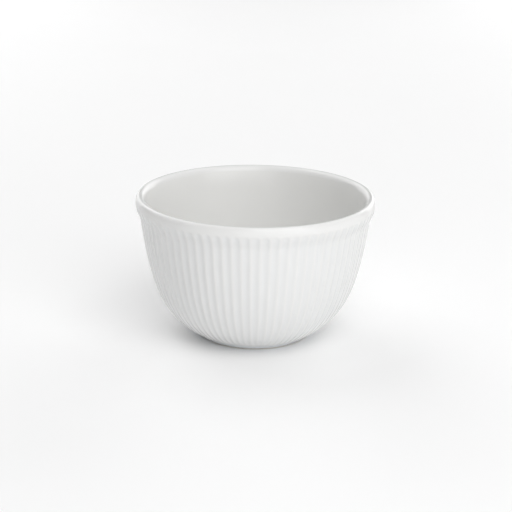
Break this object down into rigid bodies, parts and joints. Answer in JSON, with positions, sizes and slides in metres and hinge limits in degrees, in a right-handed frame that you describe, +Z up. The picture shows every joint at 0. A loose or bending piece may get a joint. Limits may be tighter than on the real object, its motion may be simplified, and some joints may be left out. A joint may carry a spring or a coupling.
{
  "type": "shaving bowl",
  "caption": "Round porcelain lather bowl with a fluted outside, a smooth flared lip, a smooth glazed inside and a low foot ring.",
  "frame": {"origin": "middle of the foot ring's bearing face, on the surface that the bowl stands on", "axes": "+Z up through the middle of the bowl, which is the same all round apart from its flutes"},
  "size_m": [0.11, 0.11, 0.0662],
  "materials": {
    "bare_porcelain": "fired unglazed porcelain, fine matt",
    "outside_glaze": "clear gloss glaze over white porcelain",
    "inside_glaze": "clear gloss glaze over white porcelain",
    "foot_glaze": "clear gloss glaze over white porcelain"
  },
  "bodies": {
    "root": {"porcelain_body": "bare_porcelain", "outside_glaze": "outside_glaze", "inside_glaze": "inside_glaze", "foot_recess_glaze": "foot_glaze"}
  },
  "joints": []
}
